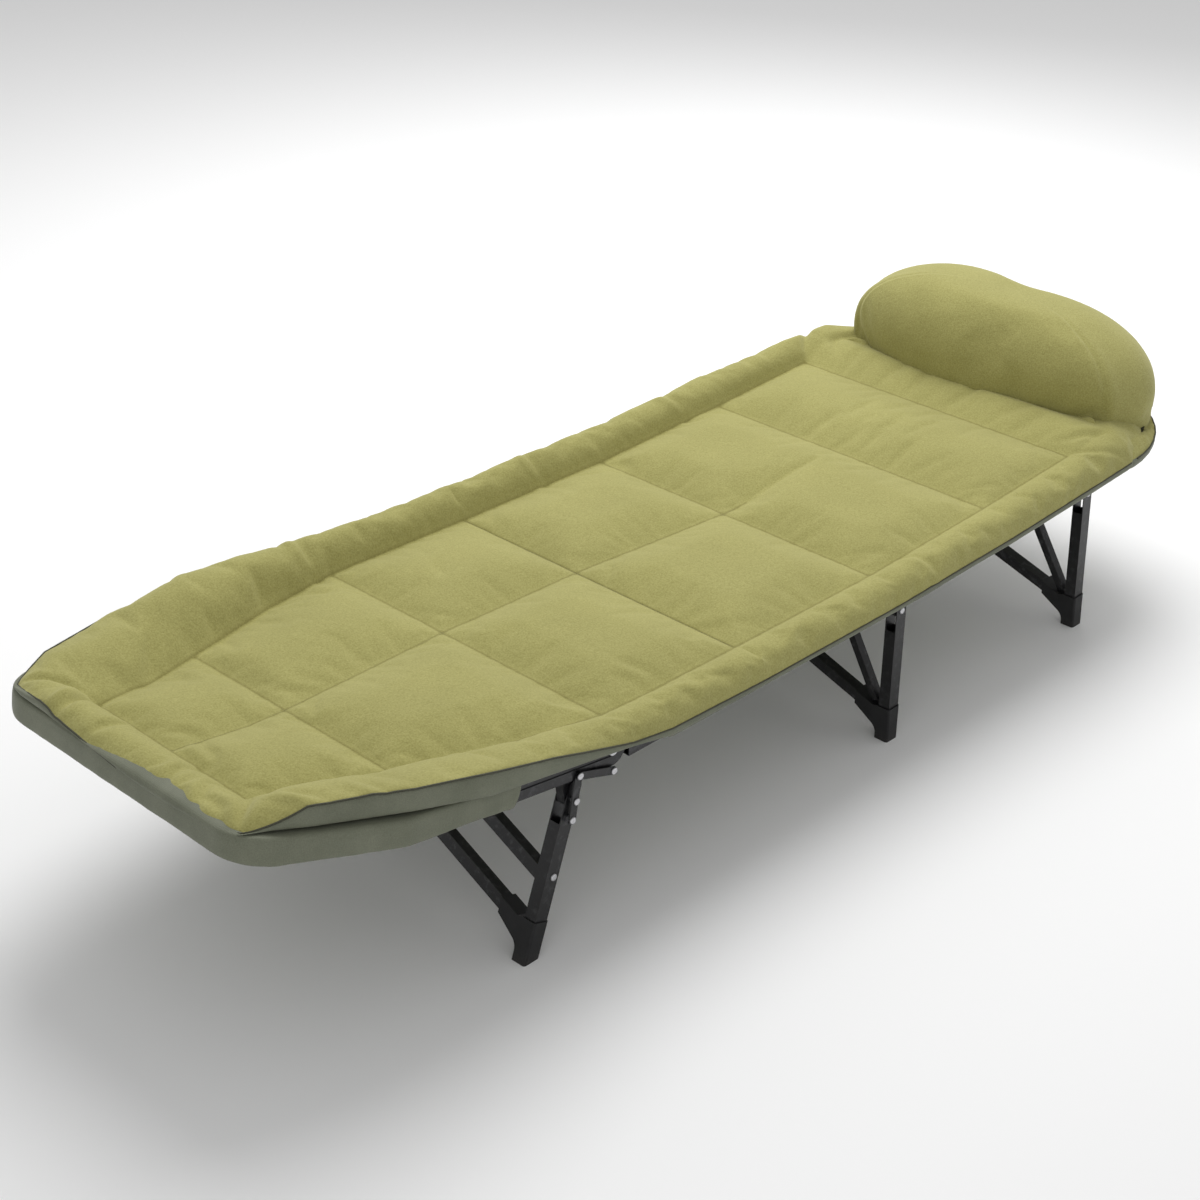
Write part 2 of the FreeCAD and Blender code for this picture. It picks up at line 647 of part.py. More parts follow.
def foot_sleeve():
    """Fabric sleeve round the end tube and the ends of the side rails of the foot section."""
    path, bends = end_path("foot", -1, dim("foot_sleeve_from"))
    gap = dim("sleeve_gap")
    grow = gap + dim("sleeve_wall")
    bottom = dim("pivot_drop") - dim("rail_tall")
    solids = []
    for extra in (grow, gap):
        outline, radii = band(path, bends, dim("rail_deep") / 2 + extra)
        face = Part.Face(Part.Wire([edge.toShape() for edge in rounded(outline, radii)]))
        solid = face.extrude(Vector(0, 0, dim("rail_tall") + extra))
        solid.translate(Vector(0, 0, bottom - extra))
        solids.append(solid)
    shape_node("foot_sleeve", FOOT, solids[0].cut(solids[1]))


def pillow():
    oval = doc.addObject("Part::Ellipse", "pillow_section")
    oval.setExpression("MajorRadius", "Dims.pillow_half_deep")
    oval.setExpression("MinorRadius", "Dims.pillow_half_tall")
    roll = doc.addObject("Part::Extrusion", "pillow_roll")
    roll.Base = oval
    roll.DirMode = "Custom"
    roll.Dir = Vector(0, 0, 1)
    roll.Solid = True
    roll.setExpression("LengthFwd", "Dims.pillow_length")
    doc.recompute()
    rims = [i for i, edge in enumerate(roll.Shape.Edges, start=1) if edge.Closed]
    soft = doc.addObject("Part::Fillet", "pillow")
    soft.Label = "pillow"
    soft.Base = roll
    soft.Edges = [(i, dim("pillow_round"), dim("pillow_round")) for i in rims]
    lift = dim("mat_top") + dim("side_gap") + dim("pillow_half_tall")
    local = Placement(Vector(dim("pillow_at"), dim("pillow_length") / 2, lift),
                      Rotation(Vector(1, 0, 0), 90))
    soft.Placement = HEAD.multiply(local)
    nodes.append(soft)


# ---------------------------------------------------------------- build and write

middle_section()
section_hinges()
end_section("foot", FOOT, -1)
end_section("head", HEAD, 1)
leg_sets()
fold_linkage()
mats()
foot_sleeve()
pillow()
doc.recompute()

for item in doc.Objects:
    if "Invalid" in item.State or "Error" in item.State:
        raise RuntimeError("%s did not recompute: %s" % (item.Label, item.State))
for node in nodes:
    if node.Shape.isNull() or not node.Shape.isValid() or not node.Shape.Solids:
        raise RuntimeError("%s has no valid solid" % node.Label)

os.makedirs("parts", exist_ok=True)
whole = FreeCAD.BoundBox()
for node in nodes:
    node.Shape.exportStep("parts/%s.step" % node.Label)
    whole.add(node.Shape.BoundBox)
    print("%-28s %8.1f cm3" % (node.Label, node.Shape.Volume / 1000))
print(len(nodes), "nodes; box", whole)
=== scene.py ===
"""Looks of the folding cot: quilted fleece mat with pillow, woven underside, painted steel frame.

Metres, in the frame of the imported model: X runs from the foot end to the head end,
Y across the bed with the near side at -Y, Z up.
"""
import math

import bpy
import numpy as np
from mathutils import Matrix, Vector, noise

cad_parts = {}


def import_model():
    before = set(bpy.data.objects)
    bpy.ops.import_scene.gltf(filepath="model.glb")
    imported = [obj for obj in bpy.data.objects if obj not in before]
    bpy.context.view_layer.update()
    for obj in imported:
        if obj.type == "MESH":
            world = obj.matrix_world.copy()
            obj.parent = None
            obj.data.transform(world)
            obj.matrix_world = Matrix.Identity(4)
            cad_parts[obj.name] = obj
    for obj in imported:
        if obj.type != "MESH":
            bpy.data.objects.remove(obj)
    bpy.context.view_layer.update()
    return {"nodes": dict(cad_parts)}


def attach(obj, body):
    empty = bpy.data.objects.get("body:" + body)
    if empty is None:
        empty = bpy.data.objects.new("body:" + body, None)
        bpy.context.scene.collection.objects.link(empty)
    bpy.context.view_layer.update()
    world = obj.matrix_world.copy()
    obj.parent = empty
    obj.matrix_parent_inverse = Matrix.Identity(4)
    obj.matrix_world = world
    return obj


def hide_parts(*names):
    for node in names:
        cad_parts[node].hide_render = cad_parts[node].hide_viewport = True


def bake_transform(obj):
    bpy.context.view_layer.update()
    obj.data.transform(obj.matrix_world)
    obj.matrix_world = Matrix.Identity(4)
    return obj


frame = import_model()

# ---------------------------------------------------------------- size and place of the fabric

FOOT_HINGE, HEAD_HINGE, PIVOT_Z = -0.4294, 0.2286, 0.258
FOOT_RISE, HEAD_RISE = math.radians(8.0), math.radians(3.2)

# Cross seams from the foot end to the head end; first the outer edge, last the pillow seam and
# the end of the mat under the pillow.
SEAM_X = [-0.951, -0.876, -0.699, -0.411, -0.154, 0.138, 0.416, 0.640, 0.742, 0.900]
U_STEPS = [12, 22, 36, 32, 36, 34, 28, 14, 18]
BORDER_STEPS, PANEL_STEPS = 14, 34
PANEL_THICK = 0.010
END_CREST = 0.024
SPLIT = 4                      # index in SEAM_X of the seam that the mat is divided at

# Outline of the mat by X: half width of the panel seam, its height, half width of the outer
# edge, its height, height of the band's lower edge, and crest height on the far and near side.
PROFILE = np.array([
    # x      seam_y  seam_z  edge_y  edge_z  low_z   far    near
    [-0.951, 0.138, 0.3330, 0.222, 0.3450, 0.3430, 0.010, 0.018],
    [-0.876, 0.148, 0.3180, 0.262, 0.3480, 0.3350, 0.016, 0.018],
    [-0.756, 0.178, 0.2990, 0.304, 0.3360, 0.3190, 0.028, 0.016],
    [-0.650, 0.208, 0.2930, 0.321, 0.3230, 0.2980, 0.052, 0.016],
    [-0.550, 0.238, 0.2880, 0.324, 0.3050, 0.2840, 0.056, 0.016],
    [-0.411, 0.266, 0.2820, 0.325, 0.2700, 0.2620, 0.058, 0.018],
    [-0.340, 0.268, 0.2800, 0.325, 0.2590, 0.2460, 0.058, 0.020],
    [-0.154, 0.268, 0.2780, 0.325, 0.2540, 0.2440, 0.058, 0.020],
    [0.138, 0.268, 0.2780, 0.325, 0.2540, 0.2440, 0.058, 0.020],
    [0.416, 0.268, 0.2900, 0.325, 0.2620, 0.2500, 0.058, 0.020],
    [0.640, 0.268, 0.3040, 0.325, 0.2740, 0.2610, 0.052, 0.020],
    [0.742, 0.264, 0.3110, 0.325, 0.2800, 0.2670, 0.040, 0.018],
    [0.810, 0.236, 0.3110, 0.304, 0.2860, 0.2760, 0.020, 0.012],
    [0.860, 0.216, 0.3110, 0.281, 0.2900, 0.2790, 0.012, 0.008],
    [0.900, 0.190, 0.3110, 0.248, 0.2930, 0.2820, 0.006, 0.006],
])

SEAM_Y, SEAM_Z, EDGE_Y, EDGE_Z, LOW_Z, FAR_CREST, NEAR_CREST = range(1, 8)

# Height that the near edge has over the shared edge height, by X.
NEAR_RISE = [(-0.951, -0.004), (-0.930, 0.006), (-0.876, 0.017), (-0.800, 0.018), (-0.700, 0.013),
             (-0.600, 0.007), (-0.500, 0.002), (-0.430, 0.0)]

# Height of the outer edge along the foot end, and sideways drift of the centre seam by X.
END_EDGE = [(-0.222, 0.341), (-0.190, 0.337), (-0.100, 0.328), (-0.040, 0.331), (0.030, 0.339),
            (0.100, 0.347), (0.150, 0.358), (0.180, 0.354), (0.222, 0.345)]
CENTRE_DRIFT = [(-0.876, 0.0), (-0.699, 0.008), (-0.411, 0.034), (-0.154, 0.034), (0.138, 0.012),
                (0.416, 0.0)]

# Short creases in the fleece: plan position, direction in degrees, length and depth.
PUCKERS = [
    (-0.316, 0.146, 35, 0.030, 0.0045), (-0.306, -0.222, 100, 0.032, 0.0040),
    (-0.845, -0.035, 60, 0.034, 0.0080), (-0.765, 0.198, 35, 0.060, 0.0120),
    (-0.862, -0.235, 100, 0.030, 0.0060), (-0.912, 0.134, 10, 0.048, 0.0120),
    (-0.912, 0.060, -10, 0.040, 0.0040), (-0.912, -0.070, 5, 0.042, 0.0045),
    (-0.922, -0.130, 25, 0.032, 0.0060), (-0.930, -0.165, 60, 0.030, 0.0080),
    (-0.790, -0.268, 80, 0.030, 0.0040), (-0.620, -0.262, 80, 0.040, 0.0035),
    (0.700, 0.250, 30, 0.045, 0.0060), (0.705, -0.262, -40, 0.045, 0.0070),
    (0.010, 0.285, 85, 0.050, 0.0035), (0.330, 0.288, 95, 0.050, 0.0035),
    (-0.440, 0.284, 80, 0.050, 0.0040), (0.220, -0.297, 88, 0.035, 0.0025),
]


def profile(x, column):
    """One column of PROFILE at x."""
    return np.interp(x, PROFILE[:, 0], PROFILE[:, column])


def by_x(table, x):
    """Value at x from a short list of (x, value) pairs."""
    return np.interp(x, *zip(*table))


def smooth(t):
    t = np.clip(t, 0, 1)
    return t * t * (3 - 2 * t)


# ---------------------------------------------------------------- mesh helpers

def make_mesh(name, verts, faces, material_index=None, materials=()):
    mesh = bpy.data.meshes.new(name)
    mesh.from_pydata([tuple(map(float, v)) for v in verts], [], [tuple(map(int, f)) for f in faces])
    mesh.validate()
    for material in materials:
        mesh.materials.append(material)
    if material_index is not None:
        mesh.polygons.foreach_set("material_index", np.asarray(material_index, np.int32))
    mesh.polygons.foreach_set("use_smooth", [True] * len(mesh.polygons))
    mesh.update()
    obj = bpy.data.objects.new(name, mesh)
    bpy.context.scene.collection.objects.link(obj)
    return obj


def add_attribute(obj, name, values):
    attribute = obj.data.attributes.new(name, "FLOAT", "POINT")
    attribute.data.foreach_set("value", np.asarray(values, np.float32))


def coordinates(obj):
    co = np.empty(len(obj.data.vertices) * 3)
    obj.data.vertices.foreach_get("co", co)
    return co.reshape(-1, 3)


def grid_faces(rows, columns, first=0, flip=False):
    faces = []
    for i in range(rows - 1):
        for j in range(columns - 1):
            a = first + i * columns + j
            quad = (a, a + 1, a + columns + 1, a + columns)
            faces.append(quad[::-1] if flip else quad)
    return faces


def lumps(points, scale, seed):
    """Smooth noise from -1 to 1 at each point."""
    shift = Vector((seed * 7.13, seed * 3.71, seed * 5.37))
    return np.array([noise.noise(Vector(p) * scale + shift) for p in points])


# ---------------------------------------------------------------- materials

def material(name):
    mat = bpy.data.materials.new(name)
    mat.use_nodes = True
    nodes, links = mat.node_tree.nodes, mat.node_tree.links
    shader = nodes["Principled BSDF"]

    def node(kind, **settings):
        made = nodes.new(kind)
        for key, value in settings.items():
            if key in made.inputs:
                made.inputs[key].default_value = value
            else:
                setattr(made, key, value)
        return made

    return mat, shader, node, links.new


def noise_of(node, link, coords, scale, detail=3.0, roughness=0.55):
    made = node("ShaderNodeTexNoise", Scale=scale, Detail=detail, Roughness=roughness)
    link(coords.outputs["Object"], made.inputs["Vector"])
    return made


def ramp(node, link, source, stops):
    made = node("ShaderNodeValToRGB")
    elements = made.color_ramp.elements
    for i, (position, colour) in enumerate(stops):
        element = elements[i] if i < 2 else elements.new(position)
        element.position = position
        element.color = (*colour, 1)
    link(source, made.inputs["Fac"])
    return made


def mix(node, link, kind, factor, a, b):
    made = node("ShaderNodeMix", data_type="RGBA", blend_type=kind)
    for socket, value in ((made.inputs[0], factor), (made.inputs[6], a), (made.inputs[7], b)):
        if hasattr(value, "is_linked"):
            link(value, socket)
        elif isinstance(value, tuple):
            socket.default_value = (*value, 1)
        else:
            socket.default_value = value
    return made.outputs[2]


def bump(node, link, shader, layers):
    """Chains bump layers of (height socket, strength, distance) into the shader."""
    normal = None
    for height, strength, distance in layers:
        made = node("ShaderNodeBump", Strength=strength, Distance=distance)
        link(height, made.inputs["Height"])
        if normal:
            link(normal, made.inputs["Normal"])
        normal = made.outputs["Normal"]
    link(normal, shader.inputs["Normal"])


def fleece_material():
    """Short-napped fleece, with painted shade along the seam creases: darker where the seam attribute says
    that it is pulled in.
    """
    mat, shader, node, link = material("fleece")
    coords = node("ShaderNodeTexCoord")
    nap = noise_of(node, link, coords, 420, 3, 0.6)
    tuft = noise_of(node, link, coords, 150, 2, 0.5)
    patch = noise_of(node, link, coords, 9, 4, 0.6)
    base = ramp(node, link, nap.outputs["Fac"], [(0.28, (0.272, 0.252, 0.082)),
                                                 (0.72, (0.392, 0.370, 0.136))])
    shade = ramp(node, link, patch.outputs["Fac"], [(0.3, (0.94, 0.94, 0.93)), (0.7, (1.04, 1.04, 1.05))])
    colour = mix(node, link, "MULTIPLY", 1.0, base.outputs["Color"], shade.outputs["Color"])
    # painted shade: the seam attribute darkens the fleece along the seam creases, where shade falls
    seam = node("ShaderNodeAttribute", attribute_name="seam")
    painted_seam_shade = ramp(node, link, seam.outputs["Fac"], [(0.55, (1, 1, 1)), (1.0, (0.66, 0.64, 0.55))])
    colour = mix(node, link, "MULTIPLY", 1.0, colour, painted_seam_shade.outputs["Color"])
    link(colour, shader.inputs["Base Color"])
    shader.inputs["Roughness"].default_value = 0.95
    shader.inputs["Specular IOR Level"].default_value = 0.15
    shader.inputs["Sheen Weight"].default_value = 0.35
    shader.inputs["Sheen Roughness"].default_value = 0.5
    shader.inputs["Sheen Tint"].default_value = (0.80, 0.78, 0.50, 1)
    bump(node, link, shader, [(tuft.outputs["Fac"], 0.5, 0.0012), (nap.outputs["Fac"], 0.6, 0.0007)])
    return mat


def woven_material(name, low, high, thread=900.0):
    """Plain weave: two crossed sets of threads, with slight shade and soiling changes."""
    mat, shader, node, link = material(name)
    coords = node("ShaderNodeTexCoord")
    waves = []
    for direction in ("X", "Y", "Z"):
        wave = node("ShaderNodeTexWave", wave_type="BANDS", bands_direction=direction,
                    Scale=thread / 6.283)
        wave.inputs["Distortion"].default_value = 0.35
        wave.inputs["Detail"].default_value = 1.0
        link(coords.outputs["Object"], wave.inputs["Vector"])
        waves.append(wave)
    weave = mix(node, link, "MULTIPLY", 0.6, waves[0].outputs["Color"], waves[1].outputs["Color"])
    weave = mix(node, link, "ADD", 0.4, weave, waves[2].outputs["Color"])
    patch = noise_of(node, link, coords, 14, 4, 0.6)
    fine = noise_of(node, link, coords, 700, 2, 0.5)
    base = ramp(node, link, patch.outputs["Fac"], [(0.25, low), (0.75, high)])
    grain = ramp(node, link, fine.outputs["Fac"], [(0.3, (0.86, 0.86, 0.86)), (0.7, (1.1, 1.1, 1.1))])
    colour = mix(node, link, "MULTIPLY", 1.0, base.outputs["Color"], grain.outputs["Color"])
    link(colour, shader.inputs["Base Color"])
    shader.inputs["Roughness"].default_value = 0.62
    shader.inputs["Specular IOR Level"].default_value = 0.3
    shader.inputs["Sheen Weight"].default_value = 0.08
    bump(node, link, shader, [(weave, 0.35, 0.0004), (fine.outputs["Fac"], 0.25, 0.0003)])
    return mat


def thread_material(name, low, high):
    """Twisted thread, used for the edge cord and the stitches."""
    mat, shader, node, link = material(name)
    coords = node("ShaderNodeTexCoord")
    twist = noise_of(node, link, coords, 900, 2, 0.5)
    base = ramp(node, link, twist.outputs["Fac"], [(0.3, low), (0.7, high)])
    link(base.outputs["Color"], shader.inputs["Base Color"])
    shader.inputs["Roughness"].default_value = 0.7
    bump(node, link, shader, [(twist.outputs["Fac"], 0.6, 0.0004)])
    return mat


def paint_material():
    """Semi-gloss black powder coat: faint orange peel, slight rub marks on the edges."""
    mat, shader, node, link = material("frame_paint")
    coords = node("ShaderNodeTexCoord")
    peel = noise_of(node, link, coords, 380, 2, 0.5)
    cloud = noise_of(node, link, coords, 22, 4, 0.6)
    geometry = node("ShaderNodeNewGeometry")
    base = ramp(node, link, cloud.outputs["Fac"], [(0.3, (0.0040, 0.0040, 0.0046)),
                                                   (0.75, (0.0075, 0.0075, 0.0082))])
    edge = ramp(node, link, geometry.outputs["Pointiness"], [(0.53, (0, 0, 0)), (0.62, (1, 1, 1))])
    scuff = noise_of(node, link, coords, 90, 4, 0.7)
    worn = ramp(node, link, scuff.outputs["Fac"], [(0.52, (0, 0, 0)), (0.68, (0.5, 0.5, 0.5))])
    rub = mix(node, link, "MULTIPLY", 1.0, edge.outputs["Color"], worn.outputs["Color"])
    colour = mix(node, link, "MIX", rub, base.outputs["Color"], (0.07, 0.07, 0.075))
    link(colour, shader.inputs["Base Color"])
    gloss = ramp(node, link, cloud.outputs["Fac"], [(0.2, (0.27, 0.27, 0.27)), (0.8, (0.40, 0.40, 0.40))])
    link(gloss.outputs["Color"], shader.inputs["Roughness"])
    shader.inputs["Specular IOR Level"].default_value = 0.36
    shader.inputs["Coat Weight"].default_value = 0.08
    shader.inputs["Coat Roughness"].default_value = 0.22
    bump(node, link, shader, [(peel.outputs["Fac"], 0.18, 0.0004)])
    return mat


def plastic_material():
    """Moulded foot caps, dusty near the ground."""
    mat, shader, node, link = material("cap_plastic")
    coords = node("ShaderNodeTexCoord")
    grain = noise_of(node, link, coords, 800, 2, 0.6)
    cloud = noise_of(node, link, coords, 30, 4, 0.6)
    base = ramp(node, link, cloud.outputs["Fac"], [(0.3, (0.006, 0.006, 0.0065)),
                                                   (0.75, (0.013, 0.013, 0.014))])
    place = node("ShaderNodeSeparateXYZ")
    link(coords.outputs["Object"], place.inputs[0])
    dust = node("ShaderNodeMapRange", clamp=True)
    dust.inputs["From Min"].default_value = 0.020
    dust.inputs["From Max"].default_value = 0.0
    link(place.outputs["Z"], dust.inputs["Value"])
    speck = ramp(node, link, grain.outputs["Fac"], [(0.45, (0, 0, 0)), (0.65, (0.6, 0.6, 0.6))])
    dusty = mix(node, link, "MULTIPLY", 1.0, speck.outputs["Color"], dust.outputs["Result"])
    colour = mix(node, link, "MIX", dusty, base.outputs["Color"], (0.06, 0.055, 0.048))
    link(colour, shader.inputs["Base Color"])
    shader.inputs["Roughness"].default_value = 0.52
    shader.inputs["Specular IOR Level"].default_value = 0.36
    bump(node, link, shader, [(grain.outputs["Fac"], 0.3, 0.0003)])
    return mat


def steel_material():
    """Brushed bare steel of pins and rivets."""
    mat, shader, node, link = material("bare_steel")
    coords = node("ShaderNodeTexCoord")
    stretch = node("ShaderNodeMapping")
    stretch.inputs["Scale"].default_value = (1, 6, 1)
    link(coords.outputs["Object"], stretch.inputs["Vector"])
    brush = node("ShaderNodeTexNoise", Scale=600, Detail=3, Roughness=0.6)
    link(stretch.outputs["Vector"], brush.inputs["Vector"])
    base = ramp(node, link, brush.outputs["Fac"], [(0.3, (0.42, 0.42, 0.43)), (0.7, (0.68, 0.68, 0.70))])
    link(base.outputs["Color"], shader.inputs["Base Color"])
    shader.inputs["Metallic"].default_value = 1.0
    shine = ramp(node, link, brush.outputs["Fac"], [(0.3, (0.24, 0.24, 0.24)), (0.7, (0.42, 0.42, 0.42))])
    link(shine.outputs["Color"], shader.inputs["Roughness"])
    bump(node, link, shader, [(brush.outputs["Fac"], 0.2, 0.0002)])
    return mat


FLEECE = fleece_material()
LINING = woven_material("lining", (0.125, 0.135, 0.092), (0.185, 0.195, 0.140))
THREAD = thread_material("seam_thread", (0.030, 0.031, 0.018), (0.065, 0.064, 0.036))
PAINT = paint_material()
PLASTIC = plastic_material()
STEEL = steel_material()

BARE_NODES = ("pins", "rivets", "spacers")
for name, obj in frame["nodes"].items():
    if "cap" in name:
        finish_material = PLASTIC
    elif any(word in name for word in BARE_NODES):
        finish_material = STEEL
    else:
        finish_material = PAINT
    obj.data.materials.clear()
    obj.data.materials.append(finish_material)
    for polygon in obj.data.polygons:
        polygon.material_index = 0

# ---------------------------------------------------------------- the quilted mat

u_x = np.concatenate([np.linspace(a, b, n, endpoint=False)
                      for a, b, n in zip(SEAM_X, SEAM_X[1:], U_STEPS)] + [[SEAM_X[-1]]])
seam_rows = np.concatenate([[0], np.cumsum(U_STEPS)])
border = (np.arange(BORDER_STEPS) / BORDER_STEPS)
half_panel = np.arange(PANEL_STEPS) / PANEL_STEPS
# v runs from -2 (near outer edge) over -1 (near seam), 0 (middle) and 1 (far seam) to 2
v = np.concatenate([-2 + border, -1 + half_panel, half_panel, 1 + border, [2.0]])
ROWS, COLUMNS = len(u_x), len(v)
U, V = np.meshgrid(u_x, v, indexing="ij")


def deck_plan():
    """Plan position and base height of the fleece: border, panel and corners."""
    side = np.sign(V)
    inside = np.clip(np.abs(V), 0, 1)
    out = np.clip(np.abs(V) - 1, 0, 1)
    seam_y, seam_z = profile(U, SEAM_Y), profile(U, SEAM_Z)
    edge_y, edge_z = profile(U, EDGE_Y), profile(U, EDGE_Z)
    x = U.copy()
    y = side * (seam_y * inside + (edge_y - seam_y) * out)
    y += by_x(CENTRE_DRIFT, U) * (1 - inside ** 2)
    edge_z = edge_z + np.where(side < 0, by_x(NEAR_RISE, U), 0)
    z = seam_z + (edge_z - seam_z) * out
    foot = np.clip((SEAM_X[1] - U) / (SEAM_X[1] - SEAM_X[0]), 0, 1)
    z += foot * (by_x(END_EDGE, y) - (profile(SEAM_X[0], SEAM_Z) * (1 - out) + edge_z * out))
    # rounded corners of the foot end, and a slight bow along the end
    corner = foot * out
    x += 0.010 * corner ** 2 * foot
    x += -0.004 * foot * (1 - np.clip(np.abs(V) / 2, 0, 1) ** 2)
    return x, y, z, foot, out, side


NO_SEAM = 9                    # metres; farther than any seam


def seam_distance():
    """Metres from each point of the fleece to the nearest seam."""
    _, y, _, foot, out, _ = deck_plan()
    distances = []
    for x_seam in SEAM_X[1:8]:
        distances.append(np.where(np.abs(V) <= 1.0001, np.abs(U - x_seam), NO_SEAM))
    centre = np.abs(y - by_x(CENTRE_DRIFT, U)) + np.clip(U - 0.19, 0, None) * 0.35
    distances.append(np.where((U >= SEAM_X[1]) & (U < SEAM_X[7]), centre, NO_SEAM))
    distances.append(np.where((U >= SEAM_X[1] - 1e-6) & (U <= SEAM_X[7] + 1e-6),
                              np.abs(np.abs(y) - profile(U, SEAM_Y)), NO_SEAM))
    distances.append(np.where((foot > 0) & (out > 0), np.abs(foot - out) * 0.06, NO_SEAM))
    return np.min(distances, axis=0)


def mat_top():
    """The fleece: panel pads, rolled border with mitred foot corners, and short creases."""
    x, y, z, foot, out, side = deck_plan()
    near_seam = seam_distance()
    crest = np.where(side > 0, profile(U, FAR_CREST), profile(U, NEAR_CREST))
    head = np.clip((U - SEAM_X[7]) / (SEAM_X[8] - SEAM_X[7]), 0, 1)
    over = np.maximum(out, foot)
    height = np.where(out > 0, crest * (1 - 0.45 * foot) + END_CREST * 0.45 * foot, END_CREST * foot ** 0.3)
    mitre = 1 - 0.85 * np.exp(-((foot - out) / 0.08) ** 2) * smooth(foot / 0.12) * smooth(out / 0.12)
    z = z + height * np.sin(np.pi * over) ** 0.75 * mitre
    head_mitre = 1 - 0.6 * np.exp(-((head - out) / 0.10) ** 2) * smooth(head / 0.2) * smooth(out / 0.2)
    z = z + np.where(out > 0, 0, 0.011 * np.sin(np.pi * head) ** 0.8)
    z = z - crest * 0.35 * (1 - head_mitre) * np.sin(np.pi * out) ** 0.5
    y = y + side * 0.008 * np.sin(np.pi * out) * (1 - foot)
    panel = (np.abs(V) < 1) & (U > SEAM_X[1]) & (U < SEAM_X[7])
    puff = 0.012 * (1 - np.exp(-near_seam / 0.030))
    z = z + np.where(panel, puff, 0)
    for cx, cy, angle, length, depth in PUCKERS:
        c, s = math.cos(math.radians(angle)), math.sin(math.radians(angle))
        along, across = (x - cx) * c + (y - cy) * s, (y - cy) * c - (x - cx) * s
        bend = across - 0.006 * np.sin(along / length * 2)
        groove, lip = np.exp(-(bend / 0.007) ** 2), np.exp(-((bend - 0.014) / 0.010) ** 2)
        fold = np.exp(-(along / length) ** 2 * 2) * (groove - 0.55 * lip)
        z = z - depth * fold
    return np.stack([x, y, z], axis=-1), near_seam


def across_border(stations, way):
    """Value along a border path: stations are grids for equal shares of the way inwards."""
    count = len(stations) - 1
    step = np.clip(np.floor(way * count).astype(int), 0, count - 1)
    share = way * count - step
    stack = np.stack(stations)
    rows, columns = np.indices(way.shape)
    return stack[step, rows, columns] * (1 - share) + stack[step + 1, rows, columns] * share


def mat_bottom(top):
    """Band down the side, round the rail where it is sleeved, and the panel underneath."""
    x, _, _, foot, out, side = deck_plan()
    low = profile(U, LOW_Z)
    under = profile(U, SEAM_Z) - PANEL_THICK
    seam_y = profile(U, SEAM_Y)
    edge_y = np.where(side > 0, np.abs(top[:, [-1], 1]), np.abs(top[:, [0], 1])) + 0 * U
    edge_z = np.where(side > 0, top[:, [-1], 2], top[:, [0], 2]) + 0 * U
    sleeved = smooth((U - (FOOT_HINGE + 0.080)) / 0.025)
    rail_low = PIVOT_Z - 0.0250 + np.clip(U - HEAD_HINGE, 0, None) * math.tan(HEAD_RISE)
    rail_in = edge_y - 0.0370
    way = 1 - out
    plain_y = [edge_y, edge_y + 0.003, edge_y + 0.001, edge_y - 0.006, edge_y - 0.020,
               edge_y - 0.036, edge_y - 0.048, seam_y]
    plain_z = [edge_z, edge_z * 0.55 + low * 0.45, low + 0.003, low, low, low * 0.8 + under * 0.2,
               low * 0.5 + under * 0.5, under]
    wrap_y = [edge_y, edge_y + 0.002, edge_y - 0.003, edge_y - 0.014, rail_in + 0.009,
              rail_in, rail_in - 0.003, seam_y]
    wrap_z = [edge_z, edge_z * 0.5 + low * 0.5, low, rail_low, rail_low, rail_low + 0.003,
              rail_low * 0.5 + under * 0.5, under]
    y_side = across_border(plain_y, way) * (1 - sleeved) + across_border(wrap_y, way) * sleeved
    z_side = across_border(plain_z, way) * (1 - sleeved) + across_border(wrap_z, way) * sleeved
    panel = np.abs(V) <= 1
    y_all = np.where(panel, seam_y * V, side * y_side)
    z_all = np.where(panel, under, z_side)
    # foot end: down from the edge, along the top of the end tube, then up to the panel
    end_z = top[0, :, 2][None, :] + 0 * U
    tube_top = profile(SEAM_X[0], LOW_Z)
    inward = 1 - foot
    shape = [end_z, end_z * 0.5 + tube_top * 0.5, tube_top + 0 * U, tube_top + 0 * U,
             tube_top * 0.7 + under * 0.3, under]
    z_end = across_border(shape, inward)
    x_end = across_border([x[0][None, :] + 0 * U, x[0][None, :] - 0.003 + 0 * U,
                           x[0][None, :] + 0.002 + 0 * U, x[0][None, :] + 0.022 + 0 * U,
                           x[0][None, :] + 0.060 + 0 * U, x], inward)
    at_end = foot > 0
    blend_out = smooth(out * 1.6 - foot * 0.6)
    z_all = np.where(at_end, z_end * (1 - blend_out) + z_all * blend_out, z_all)
    x_all = np.where(at_end, x_end * (1 - blend_out) + x * blend_out, x)
    bottom = np.stack([x_all, y_all, z_all], axis=-1)
    rim = np.zeros(U.shape, bool)
    rim[0], rim[-1], rim[:, 0], rim[:, -1] = True, True, True, True
    bottom[rim] = top[rim]
    return bottom, rim


